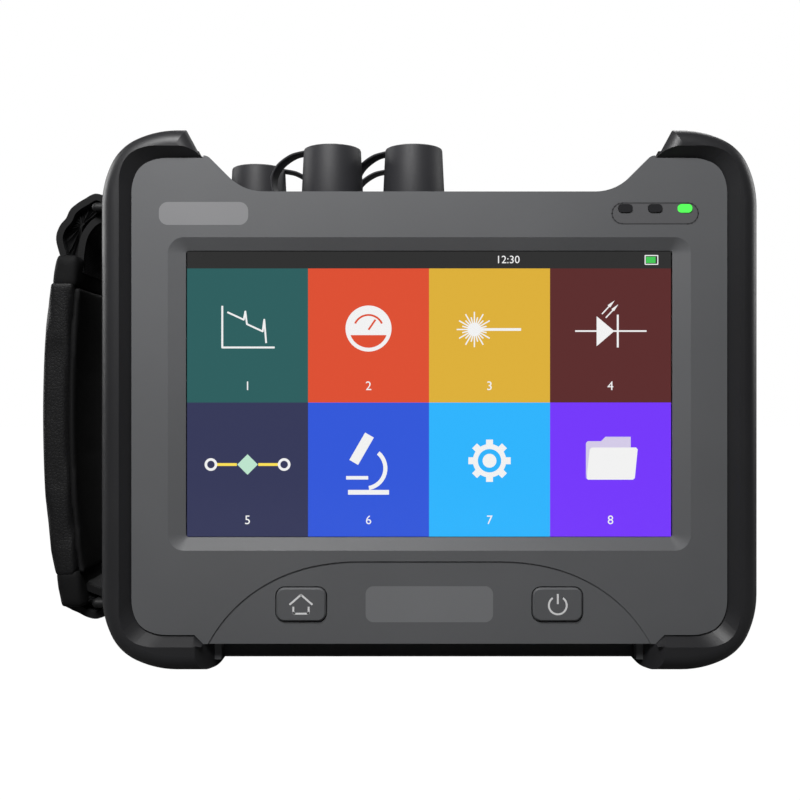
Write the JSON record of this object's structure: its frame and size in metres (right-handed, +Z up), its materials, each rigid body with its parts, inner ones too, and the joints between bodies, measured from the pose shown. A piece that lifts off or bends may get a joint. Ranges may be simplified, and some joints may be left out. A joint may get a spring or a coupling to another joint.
{
  "type": "optical time domain reflectometer",
  "caption": "Handheld fibre tester: grey housing with a wide touch display between black end bumpers, capped ports on top and a hand strap",
  "frame": {"origin": "under the middle of the whole outline, at the level of the feet", "axes": "+Z up, the display faces -Y, +X to the right of the user"},
  "size_m": [0.2266, 0.068, 0.1697],
  "materials": {
    "grey_housing": "fine spark texture, painted grey",
    "black_housing": "fine spark texture",
    "bumper_rubber": "soft-touch moulded elastomer",
    "seal_rubber": "matte",
    "cap_rubber": "matte moulded rubber",
    "display_glass": "touch glass",
    "display_panel": "lit display",
    "light_plate": "printed film",
    "smoked_plate": "satin film",
    "lamp_dark": "unlit lens",
    "lamp_green": "lit lens",
    "steel": "plated sheet",
    "nickel": "nickel plated",
    "ceramic": "polished zirconia",
    "board_green": "solder mask",
    "aluminium": "machined",
    "fibre_yellow": "jacketed fibre",
    "copper_film": "polyimide film",
    "battery_blue": "shrink sleeve",
    "pad_black": "padded synthetic leather",
    "webbing_black": "woven nylon"
  },
  "bodies": {
    "instrument": {"front_housing": "grey_housing", "rear_housing": "black_housing", "housing_gasket": "seal_rubber", "right_bumper": "bumper_rubber", "left_bumper": "bumper_rubber", "display_glass": "display_glass", "lcd_module": "display_panel", "lcd_bracket": "steel", "display_cable": "copper_film", "name_plate": "light_plate", "model_plate": "light_plate", "lamp_window": "smoked_plate", "dark_lamps": "lamp_dark", "ready_lamp": "lamp_green", "key_switches": "steel", "keypad_board": "board_green", "main_board": "board_green", "board_standoffs": "nickel", "board_screws": "steel", "processor_can": "steel", "receiver_can": "steel", "optical_module": "aluminium", "fibre_tray": "black_housing", "fibre_coil": "fibre_yellow", "pigtail_boots": "seal_rubber", "locator_laser": "nickel", "power_detector": "nickel", "speaker": "black_housing", "port_panel": "black_housing", "port_sleeves": "ceramic", "port_board": "board_green", "usb_socket": "nickel", "data_socket": "nickel", "dc_socket": "black_housing", "flap_hinge": "black_housing", "battery_pack": "battery_blue", "battery_contacts": "nickel", "battery_door": "black_housing", "door_screws": "steel", "housing_screws": "steel", "strap_pad": "pad_black", "upper_webbing": "webbing_black", "lower_webbing": "webbing_black", "strap_bars": "steel", "meter_adaptor": "nickel", "meter_tether": "cap_rubber", "locator_adaptor": "nickel", "locator_tether": "cap_rubber", "singlemode_adaptor": "nickel", "singlemode_tether": "cap_rubber", "multimode_adaptor": "nickel", "multimode_tether": "cap_rubber"},
    "home_key": {"home_key": "bumper_rubber"},
    "power_key": {"power_key": "bumper_rubber"},
    "port_flap": {"port_flap": "cap_rubber"},
    "kickstand": {"kickstand": "black_housing"},
    "meter_cap": {"meter_cap": "cap_rubber"},
    "locator_cap": {"locator_cap": "cap_rubber"},
    "singlemode_cap": {"singlemode_cap": "cap_rubber"},
    "multimode_cap": {"multimode_cap": "cap_rubber"}
  },
  "joints": [
    {"name": "home_press", "type": "slide", "parent": "instrument", "child": "home_key", "axis": [0, 1, 0], "range_m": [0, 0.001], "stiffness_N_per_m": 600},
    {"name": "power_press", "type": "slide", "parent": "instrument", "child": "power_key", "axis": [0, 1, 0], "range_m": [0, 0.001], "stiffness_N_per_m": 600},
    {"name": "meter_cap_lift", "type": "slide", "parent": "instrument", "child": "meter_cap", "axis": [0, 0, 1], "range_m": [0, 0.022]},
    {"name": "locator_cap_lift", "type": "slide", "parent": "instrument", "child": "locator_cap", "axis": [0, 0, 1], "range_m": [0, 0.022]},
    {"name": "singlemode_cap_lift", "type": "slide", "parent": "instrument", "child": "singlemode_cap", "axis": [0, 0, 1], "range_m": [0, 0.022]},
    {"name": "multimode_cap_lift", "type": "slide", "parent": "instrument", "child": "multimode_cap", "axis": [0, 0, 1], "range_m": [0, 0.022]},
    {"name": "flap_swing", "type": "hinge", "parent": "instrument", "child": "port_flap", "pos_m": [0.01025, 0.0126, 0.15], "axis": [-1, 0, 0], "range_deg": [0, 110]},
    {"name": "stand_swing", "type": "hinge", "parent": "instrument", "child": "kickstand", "pos_m": [0.01025, 0.0281, 0.1339], "axis": [1, 0, 0], "range_deg": [0, 45]}
  ]
}
